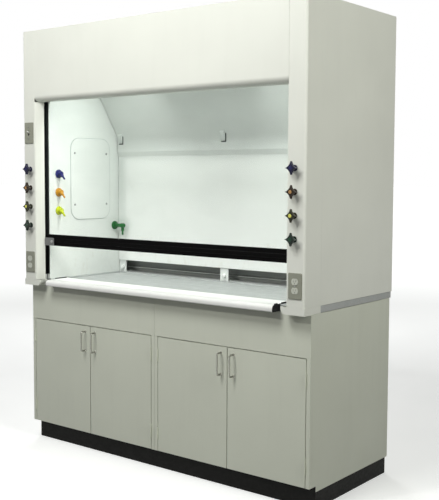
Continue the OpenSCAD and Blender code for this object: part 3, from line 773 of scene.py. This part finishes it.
def sash():
    """The sash with its rail and hardware, its tracks, shafts, counterweight and cables."""
    dress("sash_glass", SASH, 0.8 * MM)
    refine("sash_rail", RAIL, edge=0.9 * MM, segments=3, body="sash", slot="rail_black")
    knob_size = 17 * MM
    refine("sash_hardware", LOCK, LOCK_KNOB, edge=0.7 * MM, body="sash", slot="lock_grey",
           pick=lambda low, high: 1 if high.x - low.x < knob_size and high.z - low.z < knob_size else 0)
    foot_below = 0.95
    refine("sash_tracks", TRACK, TRACK_FOOT, edge=0.5 * MM, slot="track_black",
           pick=lambda low, high: 1 if high.z < foot_below else 0)
    for name in ("front", "rear"):
        refine(f"{name}_pulley_shaft", STEEL, edge=0.4 * MM, body=f"{name}_shaft", slot="fitting_steel")
    refine("shaft_brackets", STEEL, edge=0.5 * MM, slot="fitting_steel")
    dress("counterweight", PRIMER, 1.5 * MM)
    cables()


def cables():
    """Two cables over the pulleys, each with a straight drop to the sash at the front and to the
    counterweight at the back.
    """
    low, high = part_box("sash_cables")
    radius = 1.6 * MM
    shaft = middle("front_pulley_shaft").z
    front_y, back_y = low.y + radius, high.y - radius
    wrap = high.z - radius - shaft
    gap = 0.2 * MM
    weight_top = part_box("counterweight")[1].z + gap
    top = Piece("cable_top_runs")
    drops = {"sash": Piece("cable_front_drops"), "counterweight": Piece("cable_rear_drops")}
    ends = {"sash": (front_y, low.z), "counterweight": (back_y, weight_top)}
    for x in (low.x + radius, high.x - radius):
        path = list(arc((front_y + wrap, shaft), wrap, 180, 90, 12))
        path += arc((back_y - wrap, shaft), wrap, 90, 0, 12)
        top.tube([(x, y, z) for y, z in path], radius, CABLE, 12)
        for body, (y, z) in ends.items():
            drops[body].tube([(x, y, shaft), (x, y, z)], radius, CABLE, 12)
    top.done(slot="fitting_steel", replaces=["sash_cables"])
    for body, (y, z) in ends.items():
        made = drops[body].done(None, "fitting_steel")
        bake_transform(made)


# ---- services and wiring

def star(x, y, z, size, steps=12):
    """A four-pointed outline with hollow sides, in the plane at y."""
    points = []
    power, blunt_tip = 0.66, size * 0.97
    for i in range(4 * steps):
        angle = math.tau * i / (4 * steps)
        c, s = abs(math.cos(angle)), abs(math.sin(angle))
        reach = min(size * (c ** power + s ** power) ** (-1 / power), blunt_tip)
        points.append((x + reach * math.cos(angle), y, z + reach * math.sin(angle)))
    return points


def knob(node, colour):
    """A star knob with a domed disc, a skirt and its stem."""
    low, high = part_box(node)
    x, _, z = middle(node)
    reach = (high.x - low.x) / 2
    front = (x, low.y, z)
    back = (0, 1, 0)
    piece = Piece(node + "_star")
    sections = [(1.5, 0.86), (2.4, 0.95), (4, 1), (16, 1), (18, 0.96), (19.5, 0.86)]
    piece.loft([star(x, low.y + y * MM, z, reach * size) for y, size in sections], STARS[colour])
    disc = [(2, 0), (5, 0.2), (7.2, 0.7), (8.2, 1.5), (8.6, 2.6)]
    piece.lathe(front, back, in_mm(disc), DISCS[colour])
    skirt = [(13, 18), (12.4, 21), (10, 24), (8.5, 27), (7.4, 28)]
    piece.lathe(front, back, in_mm(skirt), STARS[colour])
    stem_radius, stem_start = 4.5 * MM, 27 * MM
    piece.lathe(front, back, [(stem_radius, stem_start), (stem_radius, high.y - low.y)], SCREW, 24)
    piece.done(node, f"coat_{colour}", [node])


def bonnets():
    """A dark cover over each valve's bonnet on the post."""
    cover = [(14, 0), (14, 2.6), (13, 3.8), (9, 4.2), (5.2, 4.2)]
    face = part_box("left_post")[0].y
    piece = Piece("valve_bonnet_covers")
    for side in SIDES:
        for number, colour in enumerate(COATS, 1):
            x, _, z = middle(f"{side}_knob_{number}")
            piece.lathe((x, face, z), (0, -1, 0), in_mm(cover), STARS[colour])
    piece.done(slot="cap_black")


def hose_outlet(piece, side, wall_x, y, z, material):
    """A flange on the liner, a turned body with a nut, and a ribbed nozzle that points down and inwards."""
    inward = (-side, 0, 0)
    flange = [(24, 0), (24, 3.2), (23, 4.8), (20, 6.2), (16, 7)]
    piece.lathe((wall_x, y, z), inward, in_mm(flange), material, 48)
    body = [(14, 6), (14, 9), (12.6, 10), (12.6, 19), (14, 20.5), (14, 25), (12.5, 26.5), (7, 27)]
    piece.lathe((wall_x, y, z), inward, in_mm(body), material, 40)
    nozzle = [(8, 0), (8, 18), (7.2, 20), (4.4, 20.5)]
    for i in range(4):
        nozzle += [(5.4, 22 + 4.6 * i), (4.2, 26 + 4.6 * i)]
    nozzle += [(3.9, 41.2), (2.8, 42)]
    start = Vector((wall_x - side * 20 * MM, y, z))
    slant = Vector((-side, 0, -1)).normalized()
    piece.lathe(start, slant, in_mm(nozzle), material, 32)


def hose_outlets():
    """One piece for each colour, with an outlet on both walls. They are as far apart as the knobs."""
    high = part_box("hose_outlets")[1]
    wall, flange_radius = high.x, 24 * MM
    top = high.z - flange_radius
    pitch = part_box("left_knob_1")[0].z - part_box("left_knob_2")[0].z
    for i, colour in enumerate(("blue", "orange", "yellow")):
        piece = Piece(f"{colour}_hose_outlets")
        for side in SIDES.values():
            hose_outlet(piece, side, side * wall, middle("hose_outlets").y, top - i * pitch, COATS[colour])
        replaced = ["hose_outlets"] if i == 0 else ()
        piece.done(slot=f"coat_{colour}", replaces=replaced)


def water_outlets():
    """A flange, an arm with a collar and a spout that points down."""
    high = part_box("water_outlets")[1]
    y = middle("water_outlets").y
    z = high.z - 25 * MM
    spout_x = high.x - 66 * MM
    flange = [(25, 0), (25, 4), (24, 6), (20, 8), (13, 9.5)]
    arm = [(11, 8), (11, 52), (12.6, 54), (13.4, 58), (13.4, 74), (12, 77.5), (8, 79)]
    spout = [(9, 0), (9, 30), (8.2, 32), (5.6, 33), (5.6, 38), (6.2, 39), (5, 44), (6.2, 45), (5, 50),
             (6.2, 51), (4.4, 56)]
    paint = COATS["green"]
    piece = Piece("green_water_outlets")
    for side in SIDES.values():
        wall = (side * high.x, y, z)
        piece.lathe(wall, (-side, 0, 0), in_mm(flange), paint, 48)
        piece.lathe(wall, (-side, 0, 0), in_mm(arm), paint, 40)
        piece.lathe((side * spout_x, y, z), (0, 0, -1), in_mm(spout), paint, 32)
    piece.done(slot="coat_green", replaces=["water_outlets"])


def wiring():
    """Cover plates, receptacles with real slots, the plates' screws and the light switch."""
    plate_half_width, plate_half_height = 35 * MM, 57.15 * MM
    receptacle_under = 40 * MM
    refine("wiring_devices", PLATE, RECEPTACLE, edge=0.6 * MM, slot="device_grey",
           pick=lambda low, high: 1 if high.x - low.x < receptacle_under else 0)
    low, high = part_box("wiring_devices")
    x = high.x - plate_half_width
    outlet_z, switch_z = low.z + plate_half_height, high.z - plate_half_height
    plate_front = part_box("front_header")[0].y - 4.5 * MM
    radius, switch_screw = 3.2 * MM, 30 * MM
    piece = Piece("device_screws")
    for side in SIDES.values():
        piece.screw((side * x, plate_front, outlet_z), (0, -1, 0), radius, turn=side)
    for end in (-1, 1):
        piece.screw((-x, plate_front, switch_z + end * switch_screw), (0, -1, 0), radius, turn=end * 1.8)
    piece.done(slot="device_grey")
    refine("switch_toggle", TOGGLE, edge=1.2 * MM, segments=3, body="switch_toggle", slot="toggle_white")


def services():
    """The valves with their knobs and outlets, then the electrical devices."""
    refine("service_valves", BRASS, edge=0.5 * MM, slot="valve_brass")
    for side in SIDES:
        for number, colour in enumerate(COATS, 1):
            knob(f"{side}_knob_{number}", colour)
    bonnets()
    hose_outlets()
    water_outlets()
    wiring()


# ---- studio

POWERS = {"key": 17, "right fill": 46, "top fill": 104, "near fill": 4, "back fill": 70,
          "hood light": 2.7, "hood ends": 1.5, "world": 0.11}
WARM = (1, 0.99, 0.95)
CREAM = (1, 1, 0.93)
TUBE_LIGHT = (0.95, 1, 0.97)
FLOOR_REACH = 120
FLOOR_GLOW = 0.55


def area_light(name, place, target, size, power, colour=(1, 1, 1), spread=180):
    """A rectangular light at a place, aimed at a target, with its spread in degrees."""
    data = bpy.data.lights.new(name, "AREA")
    data.spread = math.radians(spread)
    data.shape = "RECTANGLE"
    data.size, data.size_y = size
    data.energy = power
    data.color = colour
    lamp = bpy.data.objects.new(name, data)
    lamp.location = place
    lamp.rotation_euler = (Vector(target) - Vector(place)).to_track_quat("-Z", "Y").to_euler()
    bpy.context.scene.collection.objects.link(lamp)


def backdrop():
    """White behind the object, and a softer light all round."""
    world = bpy.data.worlds.new("studio")
    world.use_nodes = True
    tree = world.node_tree
    background = tree.nodes["Background"]
    background.inputs["Color"].default_value = (1, 1, 1, 1)
    seen = tree.nodes.new("ShaderNodeLightPath").outputs["Is Camera Ray"]
    strength = tree.nodes.new("ShaderNodeMapRange")
    strength.inputs["To Min"].default_value = POWERS["world"]
    tree.links.new(seen, strength.inputs["Value"])
    tree.links.new(strength.outputs[0], background.inputs["Strength"])
    bpy.context.scene.world = world


def studio():
    """A pale floor, lights in front of, above and behind the object, and the hood's own light."""
    floor = bmesh.new()
    bmesh.ops.create_grid(floor, x_segments=24, y_segments=24, size=FLOOR_REACH)
    plane = finish_mesh(floor, "floor", [pale_floor("pale floor", (0.8, 0.81, 0.8), FLOOR_GLOW)])
    plane.visible_diffuse = False
    low, high = CAD_BOUNDS
    centre = (low + high) / 2
    area_light("key", (-1.24, -4.8, 4.1), (0.1, -0.4, 2.2), (0.4, 0.4), POWERS["key"], WARM, spread=80)
    area_light("right fill", (4.6, -1.1, 3.3), (0.9, 0, 2.3), (0.8, 2.4), POWERS["right fill"], CREAM,
               spread=120)
    area_light("top fill", (0, -2.7, 4.5), centre, (1.4, 1.4), POWERS["top fill"])
    area_light("near fill", (2.3, -4.3, 1.5), (-0.84, -0.4, 1.5), (0.7, 2.2), POWERS["near fill"])
    area_light("back fill", (-3, 3.6, 2.8), centre, (1.5, 1.5), POWERS["back fill"])
    under_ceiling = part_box("ceiling_liner")[0].z - 4 * MM
    lens = middle("light_lens")
    behind = lens.y + 50 * MM
    area_light("hood light", (lens.x, behind, under_ceiling), (lens.x, behind, 0), (1.18, 0.1),
               POWERS["hood light"], TUBE_LIGHT, spread=110)
    for side in SIDES.values():
        area_light("hood light end", (side * 0.3, lens.y, under_ceiling), (side * 0.9, lens.y + 0.1, 1.15),
                   (0.1, 0.1), POWERS["hood ends"], TUBE_LIGHT, spread=110)
    backdrop()
    bpy.context.scene.view_settings.view_transform = "Standard"


def camera():
    """The photograph's view: from the front right, a little above the middle, looking slightly down."""
    place = (2.98065, -3.60806, 1.47079)
    yaw, pitch, roll = 0.67226, -0.071417, 0.003582
    ahead = Vector((-math.sin(yaw) * math.cos(pitch), math.cos(yaw) * math.cos(pitch), math.sin(pitch)))
    level = Vector((math.cos(yaw), math.sin(yaw), 0))
    up = level.cross(ahead)
    across = math.cos(roll) * level + math.sin(roll) * up
    upright = math.cos(roll) * up - math.sin(roll) * level
    turn = Matrix((across, upright, -ahead)).transposed()
    data = bpy.data.cameras.new("camera")
    data.sensor_width = 36
    data.lens = 64.744
    data.shift_x, data.shift_y = 0.01392, -0.01734
    data.clip_start, data.clip_end = 0.05, 200
    made = bpy.data.objects.new("camera", data)
    made.matrix_world = Matrix.Translation(place) @ turn.to_4x4()
    bpy.context.scene.collection.objects.link(made)
    bpy.context.scene.camera = made


cabinets()
casing()
light()
sash()
services()
studio()
camera()

bpy.context.view_layer.update()
